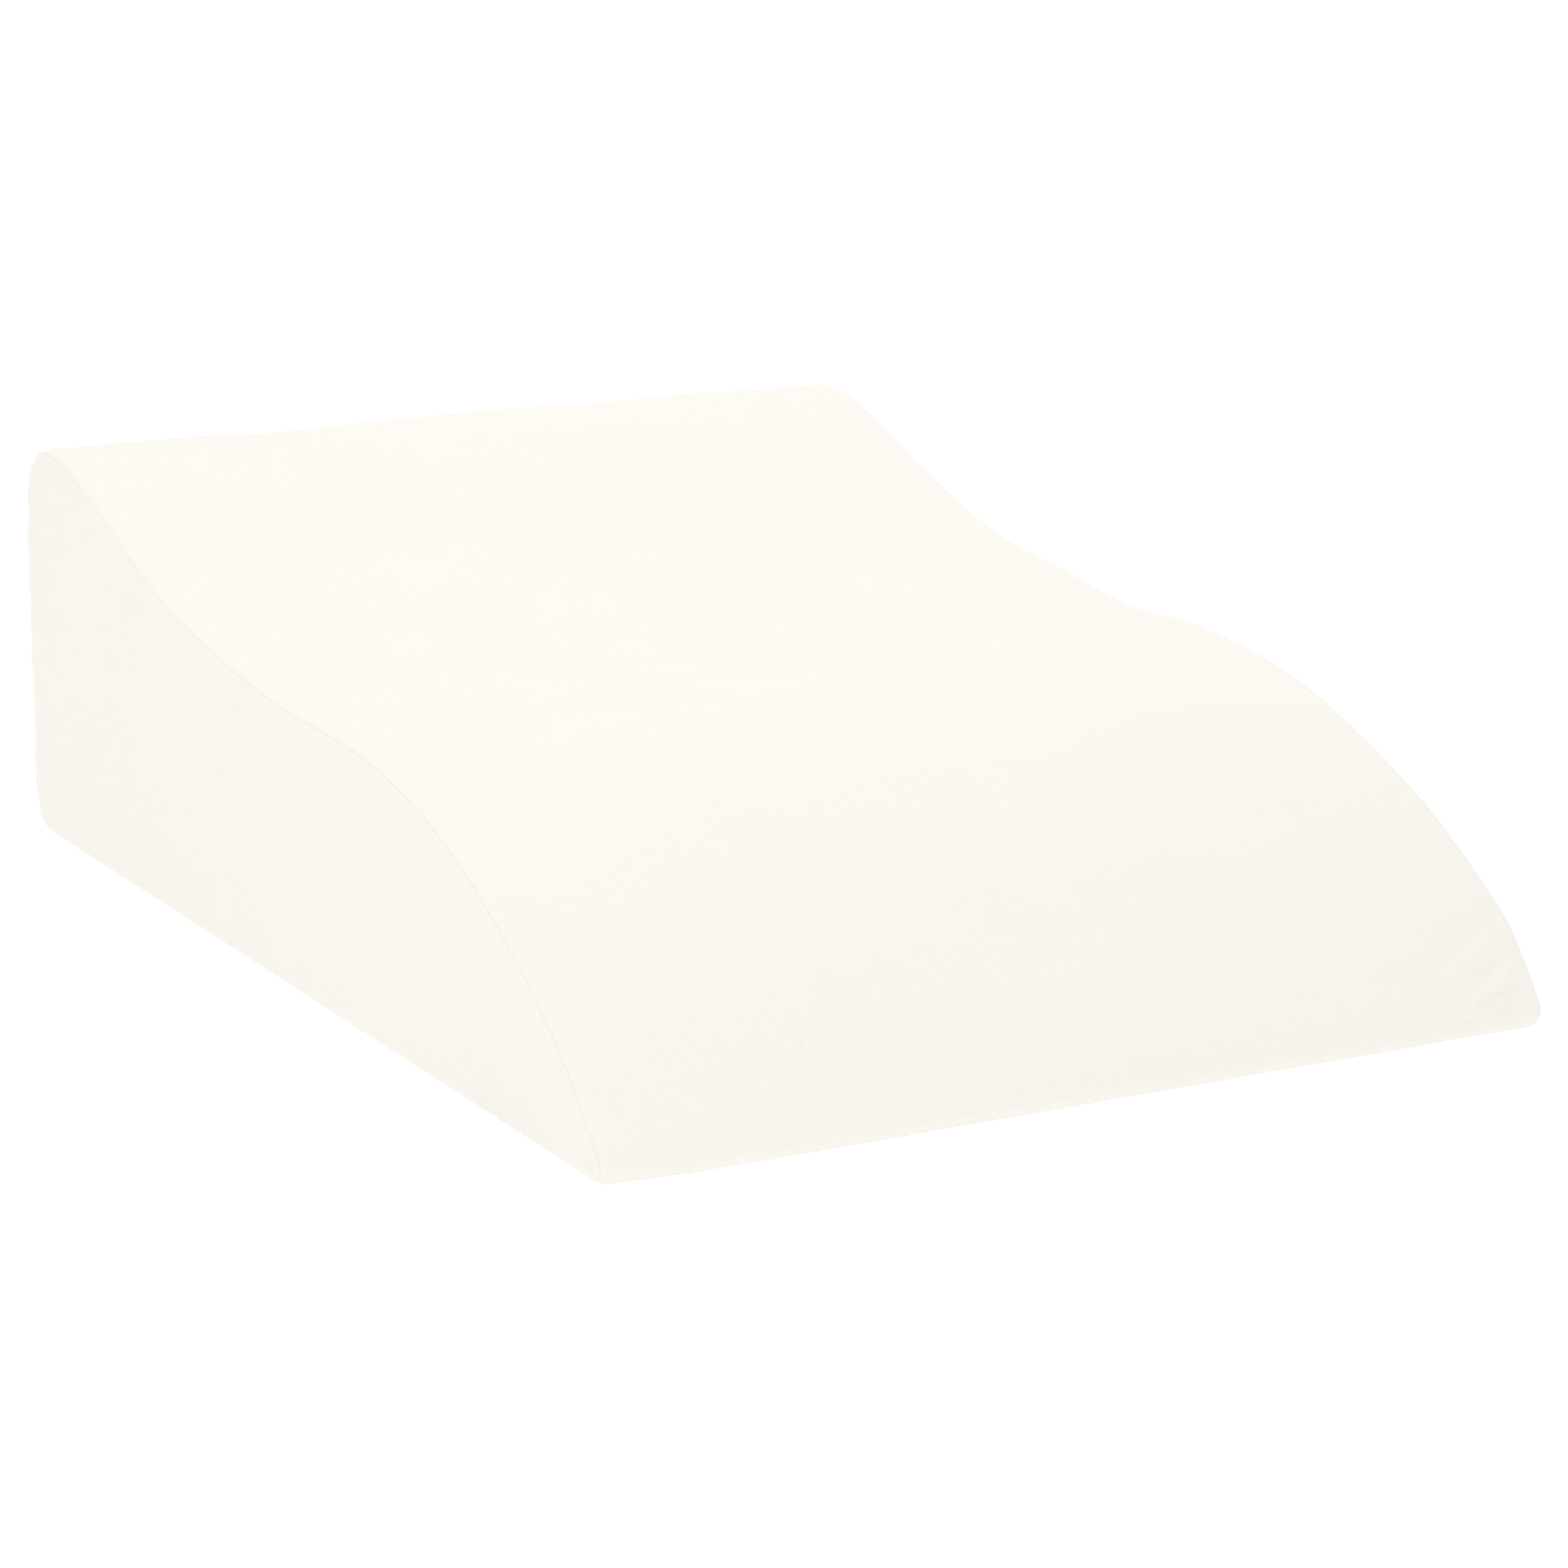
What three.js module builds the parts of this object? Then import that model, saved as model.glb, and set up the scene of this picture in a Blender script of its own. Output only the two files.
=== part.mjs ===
// Leg pillow: one contoured foam wedge in its sewn cover, a single filled solid.
// Millimetres, +Z up. X runs across the width. Y runs along the length, with the low rounded front
// edge at -Y and the high back end at +Y. The origin is on the floor, under the middle of the box.
import * as THREE from "three";
import { mergeGeometries, mergeVertices } from "three/addons/utils/BufferGeometryUtils.js";

// Driving dimensions
const LENGTH = 750;
const WIDTH = 500;
const CREST_HEIGHT = 222;
const BACK_LEAN = THREE.MathUtils.degToRad(6.2);
const CREST_RADIUS = 30;
const FOOT_RADIUS = 26;
const NOSE_RADIUS = 8;
const NOSE_SLOPE = THREE.MathUtils.degToRad(52);
const EDGE_RADIUS = 7;
const TOP_CROWN = 1.5;
const SIDE_CROWN = 2.5;
const NOSE_DRAW_IN = 5;
const DRAW_IN_ACROSS = 45;
const DRAW_IN_ALONG = 70;

// The top as it runs from the crest down the calf slope, over the near-level knee rest and down the
// thigh curve to the nose: distance from the back end, and height above the floor.
const TOP_CONTOUR = [
  { fromBack: 75, height: 219.6 },
  { fromBack: 100, height: 213.4 },
  { fromBack: 130, height: 203.6 },
  { fromBack: 160, height: 192.7 },
  { fromBack: 190, height: 181.6 },
  { fromBack: 220, height: 171.6 },
  { fromBack: 255, height: 162.8 },
  { fromBack: 295, height: 155.6 },
  { fromBack: 345, height: 148.0 },
  { fromBack: 400, height: 142.9 },
  { fromBack: 455, height: 140.6 },
  { fromBack: 505, height: 137.2 },
  { fromBack: 560, height: 126.2 },
  { fromBack: 610, height: 108.6 },
  { fromBack: 655, height: 86.0 },
  { fromBack: 695, height: 60.0 },
  { fromBack: 725, height: 36.9 },
];

// Steps along the profile's stretches, round a side edge, and across the band between the side edges
const CONTOUR_STEPS = 34;
const CORNER_STEPS = 3;
const WALL_STEPS = 5;
const EDGE_STEPS = 4;
const BAND_STEPS = 8;
const LONG_STEPS = CORNER_STEPS + CONTOUR_STEPS;
const END_STEPS = CORNER_STEPS + WALL_STEPS + CORNER_STEPS;
const ACROSS_STEPS = EDGE_STEPS + BAND_STEPS + EDGE_STEPS;
const MERGE_DISTANCE = 1e-3;

const COVER_COLOUR = 0xf8f3ea;
const COVER_ROUGHNESS = 0.9;

const RIGHT_ANGLE = Math.PI / 2;

// The side view's outline as curves in the plane of distance from the back and height, each with its
// steps. It runs clockwise: over the top, round the nose, back along the base and up the back wall.
function profileCurves() {
  const foot = new THREE.Vector2(FOOT_RADIUS, FOOT_RADIUS);
  const nose = new THREE.Vector2(LENGTH - NOSE_RADIUS, NOSE_RADIUS);
  const crest = crestCentre(foot);
  const wallSide = Math.PI - BACK_LEAN;
  const noseSide = RIGHT_ANGLE - NOSE_SLOPE;
  const crestMiddle = (wallSide + RIGHT_ANGLE) / 2;
  const footMiddle = (wallSide + 3 * RIGHT_ANGLE) / 2;

  const crestFront = arc(crest, CREST_RADIUS, crestMiddle, RIGHT_ANGLE);
  const noseArc = arc(nose, NOSE_RADIUS, noseSide, -RIGHT_ANGLE);
  const footUnder = arc(foot, FOOT_RADIUS, -RIGHT_ANGLE, footMiddle);
  const footBehind = arc(foot, FOOT_RADIUS, footMiddle, wallSide);
  const crestBehind = arc(crest, CREST_RADIUS, wallSide, crestMiddle);
  const contour = TOP_CONTOUR.map((row) => new THREE.Vector2(row.fromBack, row.height));
  const top = new THREE.SplineCurve([crestFront.getPoint(1), ...contour, noseArc.getPoint(0)]);
  const base = new THREE.LineCurve(noseArc.getPoint(1), footUnder.getPoint(0));
  const wall = new THREE.LineCurve(footBehind.getPoint(1), crestBehind.getPoint(0));
  return [
    { curve: crestFront, steps: CORNER_STEPS },
    { curve: top, steps: CONTOUR_STEPS },
    { curve: noseArc, steps: END_STEPS },
    { curve: base, steps: CONTOUR_STEPS },
    { curve: footUnder, steps: CORNER_STEPS },
    { curve: footBehind, steps: CORNER_STEPS },
    { curve: wall, steps: WALL_STEPS },
    { curve: crestBehind, steps: CORNER_STEPS },
  ];
}

function arc(centre, radius, startAngle, endAngle) {
  const clockwise = true;
  return new THREE.ArcCurve(centre.x, centre.y, radius, startAngle, endAngle, clockwise);
}

// The crest's arc sits where one straight leaning wall touches both it and the foot's arc.
function crestCentre(foot) {
  const radiusGain = CREST_RADIUS - FOOT_RADIUS;
  const height = CREST_HEIGHT - CREST_RADIUS;
  const wallRise = height - foot.y + radiusGain * Math.sin(BACK_LEAN);
  const fromBack = foot.x + wallRise * Math.tan(BACK_LEAN) + radiusGain * Math.cos(BACK_LEAN);
  return new THREE.Vector2(fromBack, height);
}

// The outline's places in order, each with the outward normal that halves the angle between the
// outline's directions into it and out of it.
function profileLoop() {
  const places = [];
  for (const { curve, steps } of profileCurves()) {
    for (let i = 0; i < steps; i++) {
      places.push(curve.getPointAt(i / steps));
    }
  }
  const count = places.length;
  return places.map((place, i) => {
    const into = place.clone().sub(places[(i + count - 1) % count]).normalize();
    const out = places[(i + 1) % count].clone().sub(place).normalize();
    const along = into.add(out);
    const normal = new THREE.Vector2(-along.y, along.x).normalize();
    return { place, normal };
  });
}

// A point of the solid from its place in the side view, moved out along the normal, and its x.
function solidPoint({ place, normal }, outwards, x) {
  const moved = place.clone().addScaledVector(normal, outwards);
  return new THREE.Vector3(x, LENGTH / 2 - moved.x, moved.y);
}

// The loop turned in round a side edge: turn is 0 on the band and a right angle on the side panel.
function edgePoint(corner, side, turn) {
  const inset = EDGE_RADIUS * (1 - Math.cos(turn));
  const x = side * (WIDTH / 2 - EDGE_RADIUS * (1 - Math.sin(turn)));
  return solidPoint(corner, -inset, x);
}

// The band between the side edges, which swells a little towards the middle of the width. The more a
// stretch faces up the more it swells, and the base lies flat.
function bandPoint(corner, across) {
  const swelling = TOP_CROWN * (1 - across * across) * Math.max(0, corner.normal.y);
  return solidPoint(corner, swelling, across * (WIDTH / 2 - EDGE_RADIUS));
}

// Columns of the band, closer together towards its side edges: -1 at one and 1 at the other
function bandColumn(k) {
  return Math.sin(RIGHT_ANGLE * (2 * k / BAND_STEPS - 1));
}

// The sewn band that goes all round, with the rounded edges on both sides of it.
function bandGeometry(loop) {
  return gridGeometry(loop.length, ACROSS_STEPS, (i, k) => {
    const corner = loop[i % loop.length];
    if (k < EDGE_STEPS) {
      return edgePoint(corner, -1, RIGHT_ANGLE * (1 - k / EDGE_STEPS));
    }
    if (k > EDGE_STEPS + BAND_STEPS) {
      return edgePoint(corner, 1, RIGHT_ANGLE * (1 - (ACROSS_STEPS - k) / EDGE_STEPS));
    }
    return bandPoint(corner, bandColumn(k - EDGE_STEPS));
  });
}

// A side panel, blended between its four edges and swelling a little towards its middle.
function panelGeometry(loop, side) {
  const rim = loop.map((corner) => edgePoint(corner, side, RIGHT_ANGLE));
  const top = (i) => rim[i];
  const nose = (j) => rim[LONG_STEPS + END_STEPS - j];
  const base = (i) => rim[2 * LONG_STEPS + END_STEPS - i];
  const back = (j) => rim[(2 * LONG_STEPS + END_STEPS + j) % rim.length];

  const inner = (i, j) => {
    const b = i / LONG_STEPS;
    const c = j / END_STEPS;
    const point = new THREE.Vector3();
    point.addScaledVector(base(i), 1 - c).addScaledVector(top(i), c);
    point.addScaledVector(back(j), 1 - b).addScaledVector(nose(j), b);
    point.addScaledVector(base(0), -(1 - b) * (1 - c)).addScaledVector(top(0), -(1 - b) * c);
    point.addScaledVector(base(LONG_STEPS), -b * (1 - c)).addScaledVector(top(LONG_STEPS), -b * c);
    point.x += side * SIDE_CROWN * Math.sin(Math.PI * c) * Math.sin(Math.PI * b);
    return point;
  };

  return gridGeometry(LONG_STEPS, END_STEPS, (i, step) => {
    const j = side > 0 ? END_STEPS - step : step;
    if (j === END_STEPS) return top(i);
    if (j === 0) return base(i);
    if (i === 0) return back(j);
    if (i === LONG_STEPS) return nose(j);
    return inner(i, j);
  });
}

// The cover draws the foam's two front corners back, so the nose is rounded where it meets the sides.
function drawInNose(geometry) {
  const position = geometry.getAttribute("position");
  for (let i = 0; i < position.count; i++) {
    const sideways = Math.abs(position.getX(i));
    const forwards = -position.getY(i);
    const nearSide = THREE.MathUtils.smoothstep(sideways, WIDTH / 2 - DRAW_IN_ACROSS, WIDTH / 2);
    const nearNose = THREE.MathUtils.smoothstep(forwards, LENGTH / 2 - DRAW_IN_ALONG, LENGTH / 2);
    position.setY(i, NOSE_DRAW_IN * nearSide * nearNose - forwards);
  }
}

// A surface of columns by rows of quads, which faces the side that its columns crossed with its rows
// point to.
function gridGeometry(columns, rows, pointAt) {
  const points = [];
  const triangles = [];
  for (let row = 0; row <= rows; row++) {
    for (let column = 0; column <= columns; column++) {
      points.push(pointAt(column, row));
      if (row < rows && column < columns) {
        const here = row * (columns + 1) + column;
        const above = here + columns + 1;
        triangles.push(here, here + 1, above, here + 1, above + 1, above);
      }
    }
  }
  const geometry = new THREE.BufferGeometry().setFromPoints(points);
  geometry.setIndex(triangles);
  return geometry;
}

// The whole pillow as one closed surface, centred over the origin with its base on the floor.
function pillowGeometry() {
  const loop = profileLoop();
  const surfaces = [bandGeometry(loop), panelGeometry(loop, -1), panelGeometry(loop, 1)];
  const closed = mergeVertices(mergeGeometries(surfaces), MERGE_DISTANCE);
  drawInNose(closed);
  closed.computeBoundingBox();
  const box = closed.boundingBox;
  const middle = box.getCenter(new THREE.Vector3());
  closed.translate(-middle.x, -middle.y, -box.min.z);
  closed.computeVertexNormals();
  return closed;
}

function coverMaterial() {
  return new THREE.MeshStandardMaterial({
    color: COVER_COLOUR,
    roughness: COVER_ROUGHNESS,
    metalness: 0,
  });
}

const legPillow = new THREE.Group();
const pillow = new THREE.Mesh(pillowGeometry(), coverMaterial());
pillow.name = "pillow";
legPillow.add(pillow);

export default legPillow;
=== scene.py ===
# Leg pillow in its sewn cover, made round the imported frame. Metres, +Z up, low front edge at -Y.
import math
import bpy
import numpy as np
from mathutils import Euler, Matrix, Vector


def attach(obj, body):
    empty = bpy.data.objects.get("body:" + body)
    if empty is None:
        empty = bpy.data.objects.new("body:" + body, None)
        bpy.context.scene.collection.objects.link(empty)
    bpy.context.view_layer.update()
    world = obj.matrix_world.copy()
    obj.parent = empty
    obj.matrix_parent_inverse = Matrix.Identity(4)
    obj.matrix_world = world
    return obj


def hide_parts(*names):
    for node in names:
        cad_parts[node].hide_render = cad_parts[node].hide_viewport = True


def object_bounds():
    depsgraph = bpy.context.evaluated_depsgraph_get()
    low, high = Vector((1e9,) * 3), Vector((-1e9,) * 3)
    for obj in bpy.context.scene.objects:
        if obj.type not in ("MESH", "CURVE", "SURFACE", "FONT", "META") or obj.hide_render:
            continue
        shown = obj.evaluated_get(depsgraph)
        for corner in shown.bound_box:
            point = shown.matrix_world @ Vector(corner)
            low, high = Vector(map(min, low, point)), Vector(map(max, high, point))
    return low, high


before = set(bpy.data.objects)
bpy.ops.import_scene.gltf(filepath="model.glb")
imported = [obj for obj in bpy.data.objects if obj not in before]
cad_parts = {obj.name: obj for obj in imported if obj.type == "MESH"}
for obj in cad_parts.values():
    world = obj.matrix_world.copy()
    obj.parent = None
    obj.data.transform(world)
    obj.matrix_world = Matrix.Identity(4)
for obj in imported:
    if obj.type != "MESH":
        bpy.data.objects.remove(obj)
cad_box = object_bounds()

MM = 0.001

# The solid's outline is a ring of places, counted over the top, round the nose, back along the base
# and up the back wall. These are its steps, and the step where the base meets the rounded foot.
CORNER_STEPS = 3
CONTOUR_STEPS = 34
WALL_STEPS = 5
EDGE_STEPS = 4
TOP_STEPS = CORNER_STEPS + CONTOUR_STEPS
END_STEPS = CORNER_STEPS + WALL_STEPS + CORNER_STEPS
RING_STEPS = 2 * (TOP_STEPS + END_STEPS)
FOOT_STEP = TOP_STEPS + END_STEPS + CONTOUR_STEPS

# How finely the cover is divided: parts of each step of the outline, more of them in the steps near
# the nose, and rows across the band, which start close together at the seam and grow to the widest.
NOSE_STEPS = 8
FINE = {
    "corner": 2, "contour": 4, "nose": 7, "wall": 7,
    "first_row": 0.2 * MM, "growth": 1.14, "widest": 5 * MM,
}
COARSE = {
    "corner": 1, "contour": 2, "nose": 3, "wall": 3,
    "first_row": 5.5 * MM, "growth": 1.2, "widest": 10 * MM,
}

# How far each side panel swells at its middle
SIDE_CROWN = 2.5 * MM

# How the solid's points are told apart: decimals of a metre of a point and of its place across the
# width, how near a place its points lie, and the height that still counts as the floor
POINT_DECIMALS = 6
PLACE_DECIMALS = 5
SAME_PLACE = 0.005 * MM
ON_FLOOR = 0.01 * MM

# Seam along the middle of each rounded side edge: a groove between two low lips, with small puckers
# beside it. Its painted light is a colour a little lighter than the cover that offsets the groove's shade,
# and it reaches a little wider than the groove.
SEAM_TURN = math.radians(45)
SEAM_DEPTH = 0.26 * MM
SEAM_HALF_WIDTH = 0.3 * MM
SEAM_PAINTED_LIGHT_WIDTH = 1.2 * SEAM_HALF_WIDTH
SEAM_LIP = 0.05 * MM
SEAM_LIP_REACH = 4 * MM
PUCKER_HEIGHT = 0.3 * MM
PUCKER_LENGTH = 27 * MM
PUCKER_REACH = 9 * MM
PUCKER_SEED = 21

# Stitches in the seam, and the rings that shape each one: place along it in half lengths, then width
# and height there in thread radii. The short step along the seam gives its direction.
STITCH_PITCH = 3.1 * MM
STITCH_LENGTH = 2.2 * MM
STITCH_RADIUS = 0.14 * MM
STITCH_SIDES = 6
STITCH_RINGS = np.array([
    [-1, 0.4, -0.8],
    [-0.65, 0.95, -0.2],
    [0, 1, 0],
    [0.65, 0.95, -0.2],
    [1, 0.4, -0.8],
])
SEAM_STEP = 0.5 * MM

# Soft unevenness of the cover over the foam: wavelength and height of each kind. One kind is a sum of
# several waves, which differ in length by the spread where they run round the outline.
SOFT_WAVES = [
    {"wavelength": 210 * MM, "height": 0.7 * MM, "seed": 11},
    {"wavelength": 90 * MM, "height": 0.25 * MM, "seed": 12},
    {"wavelength": 38 * MM, "height": 0.07 * MM, "seed": 13},
]
WAVES_ROUND = 6
WAVES_IN_SPACE = 8
WAVE_SPREAD = (0.75, 1.3)

# Height over which puckers and soft forms fade in above the base, which lies flat
BASE_FADE = 12 * MM

# Folds that the seam pulls into the cover at the right front corner. Each runs straight between two
# places on the cover's front slope, given as the distance in from the side and the height.
PULLS = [
    {"start": (10 * MM, 26.5 * MM), "end": (86 * MM, 3 * MM), "width": 5.5 * MM, "height": 5.8 * MM},
    {"start": (20 * MM, 36 * MM), "end": (74 * MM, 20 * MM), "width": 4.5 * MM, "height": 3.2 * MM},
]

# Shares of a fold's length over which it rises and falls, and the shallow hollow round it in shares of
# its height and width. Folds fade out between two distances from the front end, and they start where
# the cover begins to face up.
PULL_RISE = (-0.1, 0.25)
PULL_FALL = (0.35, 1.1)
HOLLOW_DEPTH = 0.35
HOLLOW_WIDTH = 2.4
PULL_FADE = (60 * MM, 120 * MM)
FACING_UP = (0.2, 0.6)

# How much higher the cover stands towards its right side than the solid does, as the photograph's far
# outline shows: distance from the back end, and the lift there. It grows from nothing to the whole
# between two places across the width and between two heights.
RIGHT_LIFTS = MM * np.array([
    [0, 1.5],
    [52, 3],
    [113, -1],
    [182, -4],
    [250, -3],
    [315, 0.5],
    [376, 1.2],
    [436, 3.4],
    [489, 2.3],
    [536, 0],
    [760, 0],
])
LIFT_ACROSS = (20 * MM, 190 * MM)
LIFT_UPWARDS = (0, 100 * MM)

# The right front corner, which is drawn in at the side and stands further forward at the nose
CORNER_INWARDS = 7 * MM
CORNER_FORWARDS = 5.5 * MM
CORNER_ACROSS = 50 * MM
CORNER_ALONG = 45 * MM

# Cloth simulation: a little air under the cover, which is held along its seams and base, and spare
# cloth that gathers round the two corners of the crest and the two of the nose. The movement that it
# gives is limited, and evened out some times.
SETTLE_FRAMES = 20
SETTLE_PRESSURE = 0.15
SETTLE_RISE = 0.8 * MM
SETTLE_SINK = 0.5 * MM
FOAM_GAP = 2.2 * MM
HELD_HEIGHT = 0.5 * MM
SPARE_CLOTH = 0.03
SPARE_REACH = 80 * MM
SOFTENING = 2
CLOTH_STEPS = 6
CLOTH_MASS = 0.002
CLOTH_BENDING = 2

# Cotton cover: its threads, the slubs along its yarn and the mottled tone, as noise so many times a
# metre. The three share the tone: slubs and mottle vary it at random, and the threads' share is painted
# shade, darker in the hollows of the weave. Threads and slubs stand out in the relief.
THREAD_PITCH = 0.8 * MM
SLUB_ALONG = 60
SLUB_ACROSS = 900
MOTTLE_SCALE = 14
MOTTLE_DETAIL = 3
SLUB_TONE = 0.25
WEAVE_PAINTED_SHADE = 0.25
MOTTLE_TONE = 0.5
SLUB_RELIEF = 0.08 * MM
WEAVE_RELIEF = 0.1 * MM
COVER_RELIEF_STRENGTH = 0.6
COVER_ROUGHNESS = 0.8
MOTTLE_ROUGHNESS = 0.1
COVER_SPECULAR = 0.25
# Lighter and darker ends of the cover's tone; towards the darker end lie random mottle and the painted
# shade in the weave's hollows
COVER_COLOUR = (0.909, 0.881, 0.825, 1)
COVER_SHADE = (0.869, 0.841, 0.785, 1)
# Painted light: a lighter colour in the seam's groove that offsets its shade; the thread's colour also
# varies towards it
SEAM_LIGHT_AND_THREAD_COLOUR = (0.905, 0.877, 0.82, 1)

# Sewing thread with a fine twist
TWIST_SCALE = 2500
TWIST_RELIEF = 0.05 * MM
TWIST_STRENGTH = 0.5
THREAD_ROUGHNESS = 0.6
THREAD_COLOUR = (0.90, 0.875, 0.815, 1)

# Soft fibres that catch light at the edges. The roughness is set for the cover alone.
SHEEN = 0.2
SHEEN_ROUGHNESS = 0.5

# Studio: a wide white floor that meets a white sky, and soft square lights
FLOOR_SIZE = 60
FLOOR_COLOUR = (0.45, 0.45, 0.45, 1)
FLOOR_ROUGHNESS = 0.9
FLOOR_GLOW = 0.64
SKY_COLOUR = (1, 1, 1, 1)
SKY_STRENGTH = 0.865
LIGHTS = [
    {"name": "back", "place": (0.7, 2.1, 1.9), "towards": (0, 0, 0.1), "size": 1.2, "power": 7.4},
    {"name": "top", "place": (0.35, 0, 1.8), "towards": (0.1, 0, 0.1), "size": 1.2, "power": 3.7},
    {"name": "front", "place": (-0.6, -1.2, 2.3), "towards": (0, 0, 0.1), "size": 1.2, "power": 4.7},
    {"name": "left", "place": (-2.2, 0, 0.6), "towards": (0, 0, 0.1), "size": 1.2, "power": 2.2},
    {"name": "near", "place": (-0.6, -1.1, 0.4), "towards": (-0.2, -0.37, 0), "size": 0.4, "power": 0.32},
    {"name": "knee", "place": (-0.5, -0.1, 0.9), "towards": (-0.2, -0.1, 0.14), "size": 0.4, "power": 0.12},
]

# Camera, fitted to the photograph's outline of the solid. Sensor and lens are in millimetres.
SENSOR = 36
CAMERA_LENS = 94.4
CAMERA_REACH = 100
CAMERA_PLACE = Vector((-0.9521, -1.847, 0.5539))
CAMERA_AZIMUTH = math.radians(-28.192)
CAMERA_ELEVATION = math.radians(13.094)
CAMERA_ROLL = math.radians(-0.344)


# A cubic curve through the values at the knots, read at other places. Values may have many columns,
# and t runs from 0 at one knot to 1 at the next.
def smooth_between(knots, values, at):
    column = (-1,) + (1,) * (values.ndim - 1)
    gaps = np.diff(knots)
    gap = gaps.reshape(column)
    slope = np.diff(values, axis=0) / gap
    tangent = np.empty_like(values)
    tangent[0] = slope[0]
    tangent[-1] = slope[-1]
    tangent[1:-1] = (gap[1:] * slope[:-1] + gap[:-1] * slope[1:]) / (gap[1:] + gap[:-1])
    k = np.clip(np.searchsorted(knots, at, side="right") - 1, 0, len(gaps) - 1)
    t = ((at - knots[k]) / gaps[k]).reshape(column)
    width = gaps[k].reshape(column)
    start = values[k] * (2 * t**3 - 3 * t**2 + 1) + tangent[k] * width * (t**3 - 2 * t**2 + t)
    end = values[k + 1] * (3 * t**2 - 2 * t**3) + tangent[k + 1] * width * (t**3 - t**2)
    return start + end


# The same round a closed ring, whose last place runs on to its first after one whole length
def smooth_round(knots, length, values, at):
    wrap = 3
    knots = np.concatenate([knots[-wrap:] - length, knots, knots[:wrap] + length])
    values = np.concatenate([values[-wrap:], values, values[:wrap]])
    return smooth_between(knots, values, at)


# A soft step from 0 at the low value to 1 at the high one
def smoothstep(low, high, value):
    t = np.clip((value - low) / (high - low), 0, 1)
    return t * t * (3 - 2 * t)


# The rings of the solid's points, one for each place across the width that has a whole outline
def solid_rings():
    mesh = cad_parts["pillow"].data
    points = np.empty(len(mesh.vertices) * 3)
    mesh.vertices.foreach_get("co", points)
    points = np.unique(points.reshape(-1, 3).round(POINT_DECIMALS), axis=0)
    places, counts = np.unique(points[:, 0].round(PLACE_DECIMALS), return_counts=True)
    places = places[counts == RING_STEPS]
    rings = []
    for place in places:
        ring = points[np.abs(points[:, 0] - place) < SAME_PLACE][:, 1:]
        out = ring - ring.mean(0)
        ring = ring[np.argsort(np.arctan2(out[:, 1], out[:, 0]))]
        lowest = ring[:, 1] < ring[:, 1].min() + ON_FLOOR
        foot = np.argmax(np.where(lowest, ring[:, 0], -1))
        rings.append(np.roll(ring, FOOT_STEP - foot, axis=0))
    return places, np.array(rings)


# Places round the outline, counted in the solid's steps, and how many lie over the top and at an end
def outline_steps(detail):
    top = [detail["corner"]] * CORNER_STEPS + [detail["contour"]] * (CONTOUR_STEPS - NOSE_STEPS)
    top += [detail["nose"]] * NOSE_STEPS
    end = [detail["corner"]] * CORNER_STEPS + [detail["wall"]] * WALL_STEPS
    end += [detail["corner"]] * CORNER_STEPS
    parts = top + end + top[::-1] + end
    return np.concatenate([k + np.arange(n) / n for k, n in enumerate(parts)]), sum(top), sum(end)


# Distances from 0 to a length, close together at first and then further apart
def growing_rows(length, detail):
    rows = [0.0]
    step = detail["first_row"]
    while rows[-1] < length:
        rows.append(rows[-1] + step)
        step = min(step * detail["growth"], detail["widest"])
    return np.array(rows) * (length / rows[-1])


# The solid's rings read at finer places round the outline, with each place's distance round it and its
# whole length, which are measured along the outline where the flat of the band ends
def outline_rings(rings, steps):
    outer = rings[-1 - EDGE_STEPS]
    step_length = np.linalg.norm(np.roll(outer, -1, axis=0) - outer, axis=1)
    knots = np.concatenate([[0], np.cumsum(step_length)[:-1]])
    length = step_length.sum()
    whole = steps.astype(int)
    along = knots[whole] + (steps - whole) * step_length[whole]
    fine = smooth_round(knots, length, rings.transpose(1, 0, 2), along)
    fine[..., 1] = np.maximum(fine[..., 1], 0)
    return fine, along, length


# The band's rows from one rim to the other: distance inwards from the nearer seam, the side of the
# pillow, and distance from the first row
def band_rows(seam_to_rim, seam_to_middle, detail):
    outside = -growing_rows(seam_to_rim, detail)[:0:-1]
    inside = growing_rows(seam_to_middle, detail)
    gaps = np.concatenate([outside, inside])
    gap = np.concatenate([gaps, gaps[-2::-1]])
    side = np.concatenate([-np.ones(len(gaps)), np.ones(len(gaps) - 1)])
    from_rim = gap + seam_to_rim
    total = 2 * (seam_to_rim + seam_to_middle)
    return gap, side, np.where(side < 0, from_rim, total - from_rim)


# Outward directions at the band's points, from the outline and from how far each row turns sideways
def band_normals(outline, turn, side):
    forwards = np.roll(outline, -1, axis=0) - outline
    forwards /= np.linalg.norm(forwards, axis=1, keepdims=True)
    tangent = forwards + np.roll(forwards, 1, axis=0)
    tangent /= np.linalg.norm(tangent, axis=1, keepdims=True)
    facing = np.stack([np.zeros(len(tangent)), tangent[:, 1], -tangent[:, 0]], -1)
    normals = facing * np.cos(turn)[:, None, None]
    normals[..., 0] += (side * np.sin(turn))[:, None]
    return normals


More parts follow.
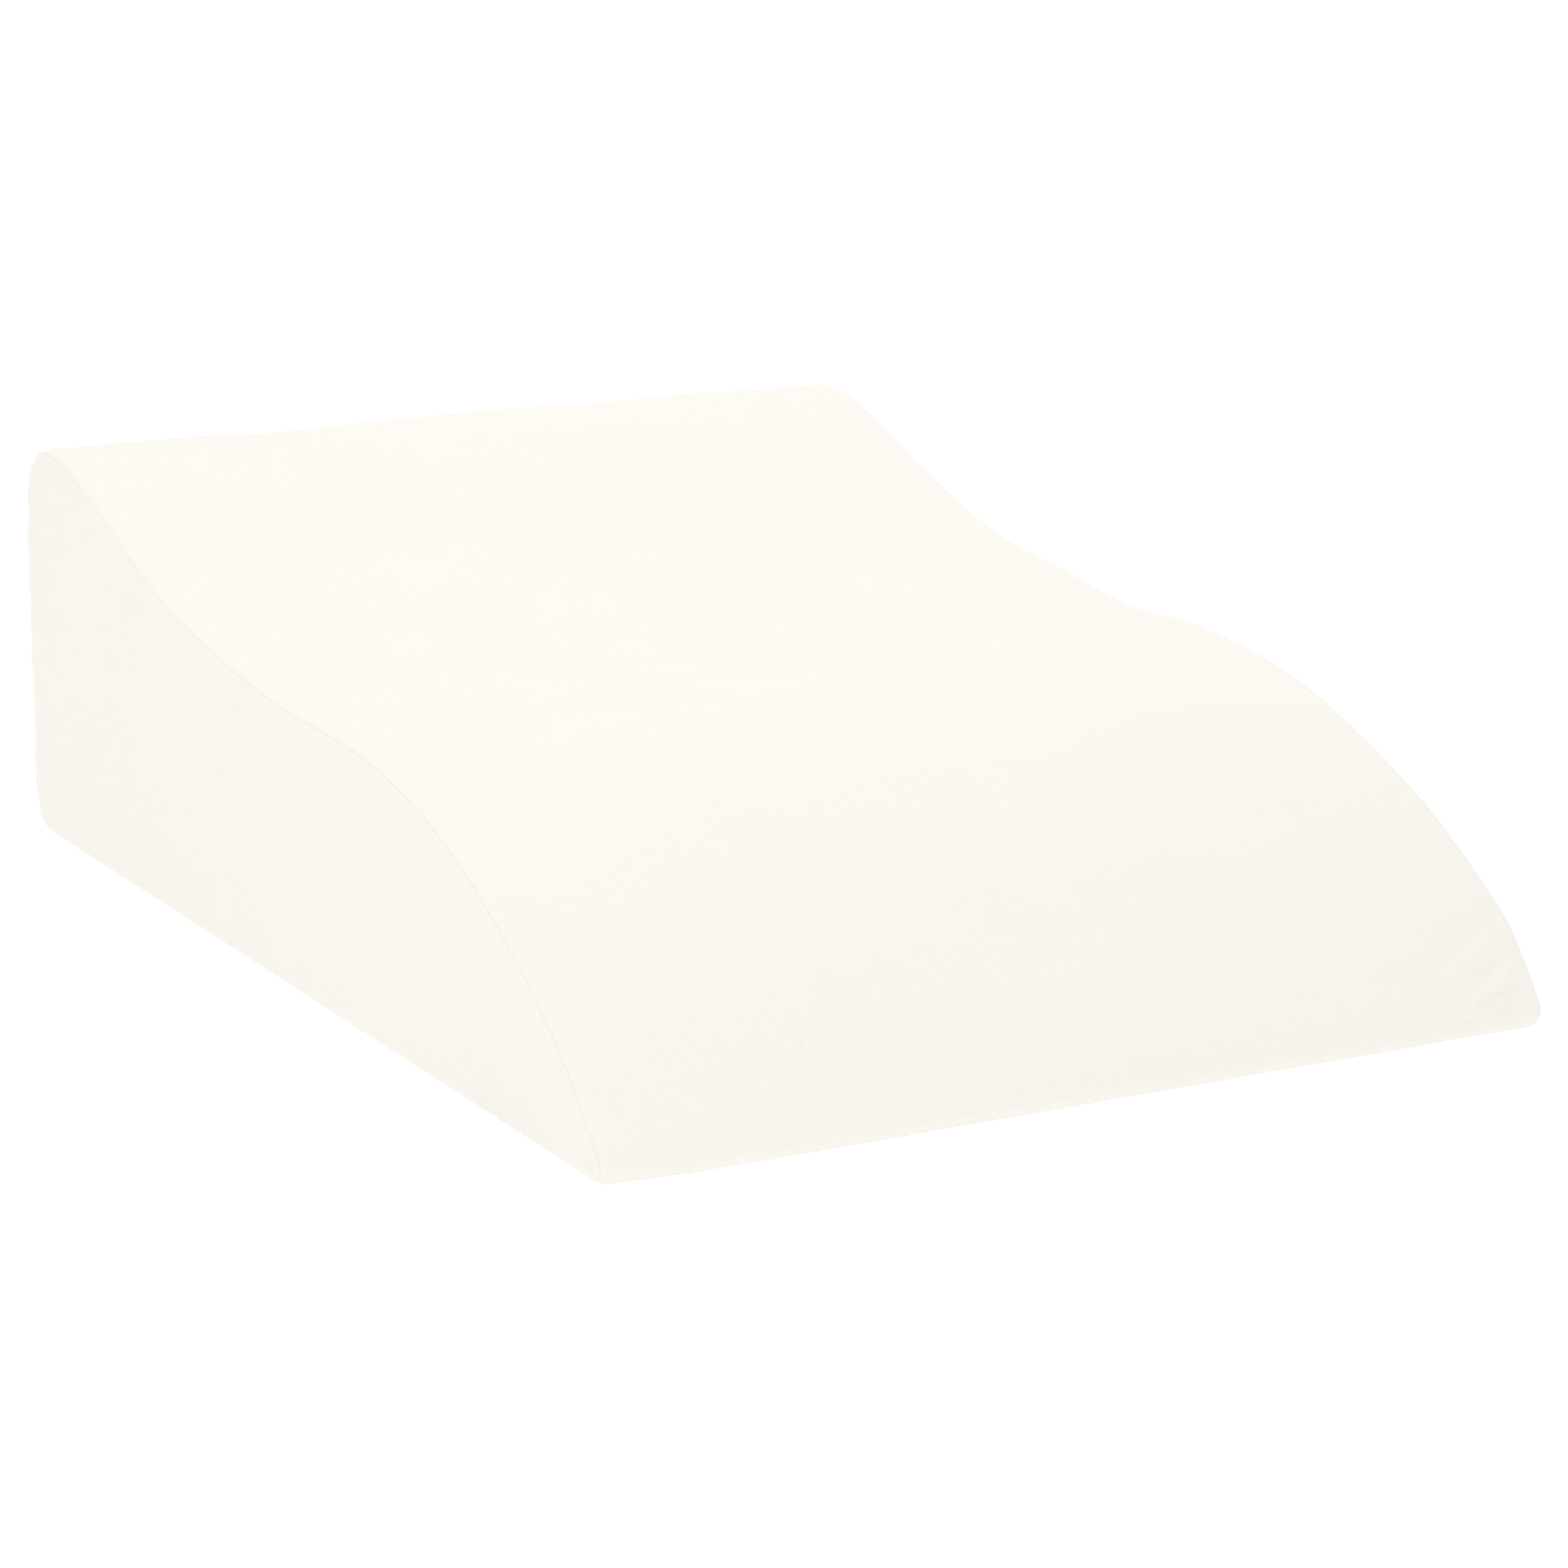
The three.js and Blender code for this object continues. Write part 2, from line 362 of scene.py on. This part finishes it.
# The cover lying on the foam with no relief yet. The band's rows run from one side panel's rim to the
# other's, and each side panel is a grid blended between its four edges.
def cover_form(detail):
    places, rings = solid_rings()
    flat_half = places[-1 - EDGE_STEPS]
    radius = places[-1] - flat_half
    steps, top_count, end_count = outline_steps(detail)
    fine, along, length = outline_rings(rings, steps)
    rim, edge = fine[:, -1], fine[:, -1 - EDGE_STEPS]
    columns = fine[:, EDGE_STEPS:-EDGE_STEPS].transpose(1, 0, 2)
    column_places = places[EDGE_STEPS:-EDGE_STEPS]

    seam_to_rim = radius * (math.pi / 2 - SEAM_TURN)
    seam_to_middle = radius * SEAM_TURN + flat_half
    gap, side, across = band_rows(seam_to_rim, seam_to_middle, detail)
    turn = np.clip(SEAM_TURN - gap / radius, 0, math.pi / 2)
    flat_place = np.maximum(seam_to_middle - gap, 0)
    x = side * np.where(turn > 0, flat_half + radius * np.sin(turn), flat_place)
    turned = rim + (edge - rim) * np.cos(turn)[:, None, None]
    level = smooth_between(column_places, columns, np.clip(x, -flat_half, flat_half))
    outline = np.where(turn[:, None, None] > 0, turned, level)
    x = np.broadcast_to(x[:, None, None], outline.shape[:2] + (1,))
    last_stretch = np.append(steps[-end_count:], RING_STEPS) - (RING_STEPS - END_STEPS)

    form = {"along": along, "length": length, "gap": gap, "across": across, "seam_to_rim": seam_to_rim}
    form["band"] = np.concatenate([x, outline], -1)
    form["normals"] = band_normals(edge, turn, side)
    form["from_back"] = np.append(steps[:top_count], TOP_STEPS) / TOP_STEPS
    form["from_base"] = last_stretch / END_STEPS
    form["panels"] = {side: panel_form(form, side) for side in (-1, 1)}
    return form


# The numbers, on the ring of places round the outline, of a panel's four edges
def panel_edges(form):
    top = np.arange(len(form["from_back"]))
    rise = np.arange(len(form["from_base"]))
    top_count, end_count = top[-1], rise[-1]
    nose = top_count + end_count - rise
    base = 2 * top_count + end_count - top
    back = (2 * top_count + end_count + rise) % len(form["along"])
    return top, nose, base, back


# A side panel blended between its four edges, which swells a little towards its middle
def panel_form(form, side):
    rim = form["band"][0 if side < 0 else -1]
    top, nose, base, back = (rim[edge] for edge in panel_edges(form))
    ahead = form["from_back"][:, None, None]
    up = form["from_base"][None, :, None]
    panel = base[:, None] * (1 - up) + top[:, None] * up + back[None] * (1 - ahead) + nose[None] * ahead
    panel -= base[0] * (1 - ahead) * (1 - up) + top[0] * (1 - ahead) * up
    panel -= base[-1] * ahead * (1 - up) + top[-1] * ahead * up
    panel[..., 0] += side * SIDE_CROWN * (np.sin(math.pi * ahead) * np.sin(math.pi * up))[..., 0]
    return panel


# Vertex numbers of a side panel's grid: its edge is the band's first or last row, its inside is new
def panel_numbers(form, side):
    rows, count = form["band"].shape[:2]
    grid = np.empty((len(form["from_back"]), len(form["from_base"])), int)
    top, nose, base, back = panel_edges(form)
    grid[:, -1], grid[:, 0], grid[0, :], grid[-1, :] = top, base, back, nose
    grid += 0 if side < 0 else (rows - 1) * count
    inner = (grid.shape[0] - 2, grid.shape[1] - 2)
    first = rows * count + (0 if side < 0 else inner[0] * inner[1])
    grid[1:-1, 1:-1] = first + np.arange(inner[0] * inner[1]).reshape(inner)
    return grid


# All the cover's points in the order of their numbers, from its band and its panels
def all_points(band, panels):
    inner = [panels[side][1:-1, 1:-1].reshape(-1, 3) for side in (-1, 1)]
    return np.concatenate([band.reshape(-1, 3)] + inner)


# The four corners of every cell of a grid, in the order that goes round it
def cells(grid):
    corners = [grid[:-1, :-1], grid[:-1, 1:], grid[1:, 1:], grid[1:, :-1]]
    return np.stack(corners, 2).reshape(-1, 4, *grid.shape[2:])


# The cover's faces, and for each of their corners its place on the flat cloth it was cut from
def cover_cells(form):
    rows, count = form["band"].shape[:2]
    numbers = np.arange(rows * count).reshape(rows, count)
    numbers = np.concatenate([numbers, numbers[:, :1]], 1)
    along = np.append(form["along"], form["length"])
    on_cloth = np.stack(np.meshgrid(along, form["across"]), -1)
    faces, weave = [cells(numbers)], [cells(on_cloth)]
    for side in (-1, 1):
        numbers = panel_numbers(form, side)
        on_cloth = form["panels"][side][..., 1:]
        if side < 0:
            numbers, on_cloth = numbers.T, on_cloth.transpose(1, 0, 2)
        faces.append(cells(numbers))
        weave.append(cells(on_cloth))
    return np.concatenate(faces), np.concatenate(weave)


# A smooth-shaded object of the scene from its points and faces
def mesh_object(name, points, faces):
    mesh = bpy.data.meshes.new(name)
    mesh.from_pydata(points.tolist(), [], faces.tolist())
    mesh.update()
    mesh.polygons.foreach_set("use_smooth", np.ones(len(mesh.polygons), bool))
    piece = bpy.data.objects.new(name, mesh)
    bpy.context.scene.collection.objects.link(piece)
    return piece


# How much spare cloth each point has, from 1 at a corner of the crest or the nose to 0 far from them
def spare_share(points):
    low, high = points.min(0), points.max(0)
    total = np.zeros(len(points))
    for x in (low[0], high[0]):
        for y, z in ((low[1], 0), (high[1], high[2])):
            distance = np.linalg.norm(points - (x, y, z), axis=1)
            total += np.exp(-((distance / SPARE_REACH) ** 2))
    return np.clip(total, 0, 1)


# The foam that the cloth settles on, a little inside it
def add_foam(sheet, points, faces):
    outwards = np.empty(len(points) * 3)
    sheet.data.vertices.foreach_get("normal", outwards)
    foam = mesh_object("settling_foam", points - FOAM_GAP * outwards.reshape(-1, 3), faces)
    foam.modifiers.new("collision", "COLLISION")
    foam.collision.thickness_outer = FOAM_GAP / 2
    return foam


# The cloth, which is held along the seams and the base and has its spare cloth at the corners
def add_cloth(sheet, form, points):
    held = sheet.vertex_groups.new(name="held")
    seams = np.zeros(form["band"].shape[:2], bool)
    seams[form["gap"] == 0] = True
    on_seam = np.append(seams.reshape(-1), np.zeros(len(points) - seams.size, bool))
    held.add(np.flatnonzero(on_seam | (points[:, 2] < HELD_HEIGHT)).tolist(), 1, "REPLACE")
    spare = sheet.vertex_groups.new(name="spare")
    for k, share in enumerate(spare_share(points)):
        spare.add([k], share, "REPLACE")

    cloth = sheet.modifiers.new("cloth", "CLOTH")
    cloth.collision_settings.distance_min = FOAM_GAP / 2
    cloth.point_cache.frame_end = SETTLE_FRAMES
    settings = cloth.settings
    settings.quality = CLOTH_STEPS
    settings.mass = CLOTH_MASS
    settings.bending_stiffness = CLOTH_BENDING
    settings.vertex_group_mass = held.name
    settings.use_pressure = True
    settings.uniform_pressure_force = SETTLE_PRESSURE
    settings.vertex_group_shrink = spare.name
    settings.shrink_max = -SPARE_CLOTH
    settings.effector_weights.gravity = 0


# Where the points of a cover lie before and after its cloth has settled
def settled_points(form):
    points = all_points(form["band"], form["panels"])
    faces, _ = cover_cells(form)
    sheet = mesh_object("settling", points, faces)
    foam = add_foam(sheet, points, faces)
    add_cloth(sheet, form, points)
    for k in range(1, SETTLE_FRAMES + 1):
        bpy.context.scene.frame_set(k)
    shown = sheet.evaluated_get(bpy.context.evaluated_depsgraph_get()).data
    settled = np.empty(len(points) * 3)
    shown.vertices.foreach_get("co", settled)
    bpy.context.scene.frame_set(1)
    bpy.data.objects.remove(sheet)
    bpy.data.objects.remove(foam)
    return points, settled.reshape(-1, 3)


# How far the settled cover stands off the foam at the points of a finer one: the coarse cover's
# movement outwards, within the limits, read between its points
def settled_heights(fine):
    coarse = cover_form(COARSE)
    points, settled = settled_points(coarse)
    moved = settled - points
    rows, count = coarse["band"].shape[:2]
    band = (moved[: rows * count].reshape(rows, count, 3) * coarse["normals"]).sum(-1)
    band = limited(band)
    along = smooth_round(coarse["along"], coarse["length"], band.T, fine["along"])
    heights = {"band": smooth_between(coarse["across"], along.T, fine["across"])}
    for side in (-1, 1):
        numbers = panel_numbers(coarse, side)
        panel = limited(side * moved[numbers, 0])
        panel = smooth_between(coarse["from_back"], panel, fine["from_back"])
        heights[side] = smooth_between(coarse["from_base"], panel.T, fine["from_base"]).T
    return heights


# Heights held within the two limits, and each one evened out with its neighbours
def limited(height):
    limit = np.where(height > 0, SETTLE_RISE, SETTLE_SINK)
    height = limit * np.tanh(height / limit)
    for _ in range(SOFTENING):
        wide = np.pad(height, 1, mode="edge")
        across = (wide[:-2] + wide[1:-1] + wide[2:]) / 3
        height = (across[:, :-2] + across[:, 1:-1] + across[:, 2:]) / 3
    return height


# Irregular waves round the outline that meet themselves where it closes
def ring_waves(along, length, wavelength, seed):
    chance = np.random.default_rng(seed)
    counts = np.round(length / wavelength * chance.uniform(*WAVE_SPREAD, WAVES_ROUND))
    phases = chance.uniform(0, 2 * math.pi, WAVES_ROUND)
    waves = [np.sin(2 * math.pi * n * along / length + phase) for n, phase in zip(counts, phases)]
    return sum(waves) * math.sqrt(2 / WAVES_ROUND)


# Irregular waves through space, so that they run on from one panel to the next
def space_waves(points, wavelength, seed):
    chance = np.random.default_rng(seed)
    directions = chance.normal(size=(WAVES_IN_SPACE, 3))
    directions /= np.linalg.norm(directions, axis=1, keepdims=True)
    phases = chance.uniform(0, 2 * math.pi, WAVES_IN_SPACE)
    turns = 2 * math.pi / wavelength * (points @ directions.T) + phases
    return np.sin(turns).sum(-1) * math.sqrt(2 / WAVES_IN_SPACE)


# How far the pulled folds stand up at points of the cover, most of all near their starts
def pull_heights(points):
    place = np.stack([cad_box[1].x - points[..., 0], points[..., 2]], -1)
    on_front = 1 - smoothstep(*PULL_FADE, points[..., 1] - cad_box[0].y)
    total = np.zeros(points.shape[:-1])
    for pull in PULLS:
        start, run = np.array(pull["start"]), np.subtract(pull["end"], pull["start"])
        length = np.linalg.norm(run)
        run /= length
        ahead = (place - start) @ run / length
        beside = (place - start) @ np.array([-run[1], run[0]]) / pull["width"]
        rise = smoothstep(*PULL_RISE, ahead) * (1 - smoothstep(*PULL_FALL, ahead))
        fold = np.exp(-(beside**2)) - HOLLOW_DEPTH * np.exp(-((beside / HOLLOW_WIDTH) ** 2))
        total += pull["height"] * rise * fold
    return total * on_front


# Points of the cover with the lift of its right side, which fades towards the middle and the base, and
# with the shift of its right front corner
def uneven(points):
    from_back = np.clip(cad_box[1].y - points[..., 1], 0, RIGHT_LIFTS[-1, 0])
    lift = smooth_between(RIGHT_LIFTS[:, 0], RIGHT_LIFTS[:, 1], from_back.reshape(-1))
    share = smoothstep(*LIFT_ACROSS, points[..., 0]) * smoothstep(*LIFT_UPWARDS, points[..., 2])
    right, front = cad_box[1].x, cad_box[0].y
    corner = smoothstep(right - CORNER_ACROSS, right, points[..., 0])
    corner = corner * smoothstep(front + CORNER_ALONG, front, points[..., 1])
    points = points.copy()
    points[..., 2] += lift.reshape(from_back.shape) * share
    points[..., 0] -= CORNER_INWARDS * corner
    points[..., 1] -= CORNER_FORWARDS * corner
    return points


# Height of the relief at points of the cover, from their distance to the seam and place along it.
# The base lies flat, so the soft forms fade towards it.
def relief(points, gap, along, length):
    off_base = smoothstep(0, BASE_FADE, points[..., 2])
    groove = -SEAM_DEPTH * np.exp(-((gap / SEAM_HALF_WIDTH) ** 2))
    from_lip = (np.abs(gap) - SEAM_LIP_REACH) / (SEAM_LIP_REACH / 2)
    lips = SEAM_LIP * np.exp(-(from_lip**2))
    near_seam = smoothstep(0, SEAM_LIP_REACH, np.abs(gap)) * np.exp(-np.abs(gap) / PUCKER_REACH)
    puckers = PUCKER_HEIGHT * near_seam * ring_waves(along, length, PUCKER_LENGTH, PUCKER_SEED)
    soft = sum(w["height"] * space_waves(points, w["wavelength"], w["seed"]) for w in SOFT_WAVES)
    return groove + lips + off_base * (puckers + soft)


# Distance of a side panel's points from its rim, and the place along the outline nearest to each
def panel_reach(form, side):
    rim = form["band"][0 if side < 0 else -1][:, 1:]
    panel = form["panels"][side][..., 1:]
    distance = np.linalg.norm(panel[:, :, None] - rim, axis=-1)
    nearest = distance.argmin(-1)
    return distance.min(-1), form["along"][nearest]


# The cover's points with its relief, how far each one is from the seam line, and the band alone
def dressed(form, settled):
    band = form["band"]
    gap = np.broadcast_to(form["gap"][:, None], band.shape[:2])
    along = np.broadcast_to(form["along"], band.shape[:2])
    height = relief(band, gap, along, form["length"])
    facing_up = smoothstep(*FACING_UP, form["normals"][..., 2])
    height = height + facing_up * pull_heights(band) + settled["band"]
    band = band + height[..., None] * form["normals"]
    band[..., 2] = np.maximum(band[..., 2], 0)
    band = uneven(band)
    gaps = [gap.reshape(-1)]
    panels = {}
    for side in (-1, 1):
        reach, nearest = panel_reach(form, side)
        gap = -(form["seam_to_rim"] + reach)
        panels[side] = form["panels"][side].copy()
        height = relief(panels[side], gap, nearest, form["length"]) + settled[side]
        panels[side][..., 0] += side * height
        panels[side] = uneven(panels[side])
        gaps.append(gap[1:-1, 1:-1].reshape(-1))
    return all_points(band, panels), np.concatenate(gaps), band


# The finished cover, with its places on the flat cloth and the mask of the seam's painted light, and its
# band alone
def make_cover(form):
    settled = settled_heights(form)
    points, gap, band = dressed(form, settled)
    faces, on_cloth = cover_cells(form)
    cover = mesh_object("cushion_cover", points, faces)
    weave = cover.data.attributes.new("weave", "FLOAT_VECTOR", "CORNER")
    flat = np.concatenate([on_cloth.reshape(-1, 2), np.zeros((len(faces) * 4, 1))], 1)
    weave.data.foreach_set("vector", flat.reshape(-1))
    # Mask of the painted light that lightens the seam's groove
    seam = cover.data.attributes.new("seam", "FLOAT", "POINT")
    seam.data.foreach_set("value", np.exp(-((gap / SEAM_PAINTED_LIGHT_WIDTH) ** 2)))
    return cover, band


# Middles of the stitches along a seam line, and the directions ahead, up and beside at each one
def stitch_places(form, line, normals):
    count = int(form["length"] / STITCH_PITCH)
    at = np.arange(count) * form["length"] / count
    middle = smooth_round(form["along"], form["length"], line, at)
    ahead = smooth_round(form["along"], form["length"], line, at + SEAM_STEP) - middle
    ahead /= np.linalg.norm(ahead, axis=1, keepdims=True)
    up = smooth_round(form["along"], form["length"], normals, at)
    up -= ahead * (up * ahead).sum(1, keepdims=True)
    up /= np.linalg.norm(up, axis=1, keepdims=True)
    return middle, ahead, up, np.cross(ahead, up)


# Points of the stitches that lie in one seam, ring after ring
def stitch_points(form, line, normals):
    places = stitch_places(form, line, normals)
    middle, ahead, up, beside = (part[:, None, None] for part in places)
    angles = np.arange(STITCH_SIDES)[:, None] * 2 * math.pi / STITCH_SIDES
    sizes = STITCH_RINGS * (STITCH_LENGTH / 2, STITCH_RADIUS, STITCH_RADIUS)
    lengths, widths, heights = sizes.T[:, :, None, None]
    spine = middle + lengths * ahead + heights * up
    return spine + widths * (np.cos(angles) * up + np.sin(angles) * beside)


# Faces of one stitch: those between its rings, and a lid at either end
def stitch_faces():
    count = len(STITCH_RINGS)
    numbers = np.arange(count * STITCH_SIDES).reshape(count, STITCH_SIDES)
    last = numbers[-1, 0]
    numbers = np.concatenate([numbers, numbers[:, :1]], 1)
    lid = np.array([[0, k, k + 1, k + 2] for k in range(1, STITCH_SIDES - 2, 2)])
    return np.concatenate([cells(numbers), lid[:, ::-1], lid + last])


# Short runs of thread lying in the groove of each seam, one after another all round it
def make_stitches(form, band):
    seams = np.flatnonzero(form["gap"] == 0)
    lines = band + STITCH_RADIUS * form["normals"]
    points = np.concatenate([stitch_points(form, lines[k], form["normals"][k]) for k in seams])
    first = np.arange(len(points)) * len(STITCH_RINGS) * STITCH_SIDES
    faces = first[:, None, None] + stitch_faces()
    return mesh_object("seam_stitches", points.reshape(-1, 3), faces.reshape(-1, 4))


# Nodes of a material, wired in the order in which they are made
class Nodes:
    def __init__(self, name):
        self.material = bpy.data.materials.new(name)
        self.material.use_nodes = True
        self.tree = self.material.node_tree
        self.shader = self.tree.nodes["Principled BSDF"]

    def add(self, kind, inputs=None, **settings):
        node = self.tree.nodes.new(kind)
        for name, value in settings.items():
            setattr(node, name, value)
        self.fill(node, inputs or {})
        return node

    def fill(self, node, inputs):
        for name, value in inputs.items():
            self.put(value, node.inputs[name])

    def put(self, value, socket):
        if isinstance(value, bpy.types.NodeSocket):
            self.tree.links.new(value, socket)
        else:
            socket.default_value = value

    def math(self, operation, *values):
        node = self.add("ShaderNodeMath", operation=operation)
        for k, value in enumerate(values):
            self.put(value, node.inputs[k])
        return node.outputs[0]

    # The sum of some values, each one times its share
    def weighted(self, *terms):
        total, *others = [self.math("MULTIPLY", value, share) for value, share in terms]
        for other in others:
            total = self.math("ADD", total, other)
        return total

    def noise(self, vector, scale, detail=2):
        node = self.add("ShaderNodeTexNoise", {"Vector": vector, "Scale": scale, "Detail": detail})
        return node.outputs["Fac"]

    # A colour that goes from the first to the second as the share grows from 0 to 1
    def blend(self, share, first, second):
        mix = self.add("ShaderNodeMix", data_type="RGBA")
        self.put(share, mix.inputs["Factor"])
        colours = [socket for socket in mix.inputs if socket.type == "RGBA"]
        self.put(first, colours[0])
        self.put(second, colours[1])
        return next(socket for socket in mix.outputs if socket.type == "RGBA")

    def bump(self, height, distance, strength, normal=None):
        inputs = {"Height": height, "Distance": distance, "Strength": strength}
        if normal is not None:
            inputs["Normal"] = normal
        return self.add("ShaderNodeBump", inputs).outputs["Normal"]


# One set of a plain weave's threads: rounded across, and passing over and under along
def thread_height(nodes, across, along, over):
    whole = nodes.math("FLOOR", across)
    rounded = nodes.math("SINE", nodes.math("MULTIPLY", nodes.math("FRACT", across), math.pi))
    phase = nodes.math("MULTIPLY", nodes.math("ADD", nodes.math("SUBTRACT", along, 0.5), whole), math.pi)
    swing = nodes.math("MULTIPLY", nodes.math("COSINE", phase), over / 2)
    return nodes.math("MULTIPLY", rounded, nodes.math("ADD", swing, 0.5))


# A plain weave of such threads in both directions
def weave_height(nodes, on_cloth, thread):
    scaled = nodes.add("ShaderNodeVectorMath", operation="SCALE")
    nodes.put(on_cloth, scaled.inputs[0])
    nodes.put(1 / thread, scaled.inputs["Scale"])
    split = nodes.add("ShaderNodeSeparateXYZ", {"Vector": scaled.outputs[0]})
    x, y = split.outputs["X"], split.outputs["Y"]
    return nodes.math("MAXIMUM", thread_height(nodes, x, y, 1), thread_height(nodes, y, x, -1))


# Uneven yarn, as noise drawn out along the threads
def slub_height(nodes, on_cloth, scale):
    drawn = nodes.add("ShaderNodeMapping", {"Vector": on_cloth, "Scale": scale})
    return nodes.noise(drawn.outputs["Vector"], 1)


# Off-white cotton. A whole number of threads fits round the outline.
def cover_material(length):
    nodes = Nodes("cover_cotton")
    on_cloth = nodes.add("ShaderNodeAttribute", attribute_name="weave").outputs["Vector"]
    weave = weave_height(nodes, on_cloth, length / round(length / THREAD_PITCH))
    slubs = slub_height(nodes, on_cloth, (SLUB_ALONG, SLUB_ACROSS, 1))
    slubs = nodes.math("ADD", slubs, slub_height(nodes, on_cloth, (SLUB_ACROSS, SLUB_ALONG, 1)))
    place = nodes.add("ShaderNodeTexCoord").outputs["Object"]
    mottle = nodes.noise(place, MOTTLE_SCALE, MOTTLE_DETAIL)

    # Tone of the cover: slubs and mottle at random, and painted shade where the weave lies low
    tone_and_painted_shade = nodes.weighted((slubs, SLUB_TONE), (mottle, MOTTLE_TONE), (weave, WEAVE_PAINTED_SHADE))
    seam = nodes.add("ShaderNodeAttribute", attribute_name="seam").outputs["Fac"]
    roughness = nodes.math("MULTIPLY", mottle, MOTTLE_ROUGHNESS)
    normal = nodes.bump(slubs, SLUB_RELIEF, COVER_RELIEF_STRENGTH)
    nodes.fill(nodes.shader, {
        # Painted light: the seam's groove is lightened towards its own colour
        "Base Color": nodes.blend(seam, nodes.blend(tone_and_painted_shade, COVER_SHADE, COVER_COLOUR), SEAM_LIGHT_AND_THREAD_COLOUR),
        "Roughness": nodes.math("ADD", roughness, COVER_ROUGHNESS),
        "Normal": nodes.bump(weave, WEAVE_RELIEF, COVER_RELIEF_STRENGTH, normal),
        "Sheen Weight": SHEEN,
        "Sheen Roughness": SHEEN_ROUGHNESS,
        "Specular IOR Level": COVER_SPECULAR,
    })
    return nodes.material


def thread_material():
    nodes = Nodes("sewing_thread")
    place = nodes.add("ShaderNodeTexCoord").outputs["Object"]
    twist = nodes.noise(place, TWIST_SCALE)
    nodes.fill(nodes.shader, {
        "Base Color": nodes.blend(twist, SEAM_LIGHT_AND_THREAD_COLOUR, THREAD_COLOUR),
        "Normal": nodes.bump(twist, TWIST_RELIEF, TWIST_STRENGTH),
        "Roughness": THREAD_ROUGHNESS,
        "Sheen Weight": SHEEN,
    })
    return nodes.material


# A white floor with a glow of its own, so that it stays white round the pillow
def add_floor():
    size = FLOOR_SIZE / 2
    corners = np.array([[-size, -size, 0], [size, -size, 0], [size, size, 0], [-size, size, 0]])
    floor = mesh_object("floor", corners, np.array([[0, 1, 2, 3]]))
    nodes = Nodes("studio_floor")
    nodes.fill(nodes.shader, {
        "Base Color": FLOOR_COLOUR,
        "Roughness": FLOOR_ROUGHNESS,
        "Emission Color": SKY_COLOUR,
        "Emission Strength": FLOOR_GLOW,
    })
    floor.data.materials.append(nodes.material)


# An even white sky
def add_world():
    world = bpy.data.worlds.new("studio")
    world.use_nodes = True
    background = world.node_tree.nodes["Background"]
    background.inputs["Color"].default_value = SKY_COLOUR
    background.inputs["Strength"].default_value = SKY_STRENGTH
    bpy.context.scene.world = world


# A soft square light that faces a point
def add_light(name, place, towards, size, power):
    light = bpy.data.lights.new(name, "AREA")
    light.shape = "SQUARE"
    light.size = size
    light.energy = power
    lamp = bpy.data.objects.new(name, light)
    lamp.location = place
    lamp.rotation_euler = (Vector(towards) - Vector(place)).to_track_quat("-Z", "Y").to_euler()
    bpy.context.scene.collection.objects.link(lamp)


def add_camera():
    data = bpy.data.cameras.new("camera")
    data.sensor_width = SENSOR
    data.lens = CAMERA_LENS
    data.clip_end = CAMERA_REACH
    camera = bpy.data.objects.new("camera", data)
    look = Euler((math.pi / 2 - CAMERA_ELEVATION, 0, CAMERA_AZIMUTH)).to_matrix()
    look = look @ Matrix.Rotation(CAMERA_ROLL, 3, "Z")
    camera.matrix_world = Matrix.Translation(CAMERA_PLACE) @ look.to_4x4()
    bpy.context.scene.collection.objects.link(camera)
    bpy.context.scene.camera = camera


form = cover_form(FINE)
cover, band = make_cover(form)
cover.data.materials.append(cover_material(form["length"]))
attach(cover, "root")
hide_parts("pillow")

stitches = make_stitches(form, band)
stitches.data.materials.append(thread_material())
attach(stitches, "root")

add_floor()
add_world()
for light in LIGHTS:
    add_light(**light)
add_camera()
bpy.context.scene.view_settings.view_transform = "Standard"
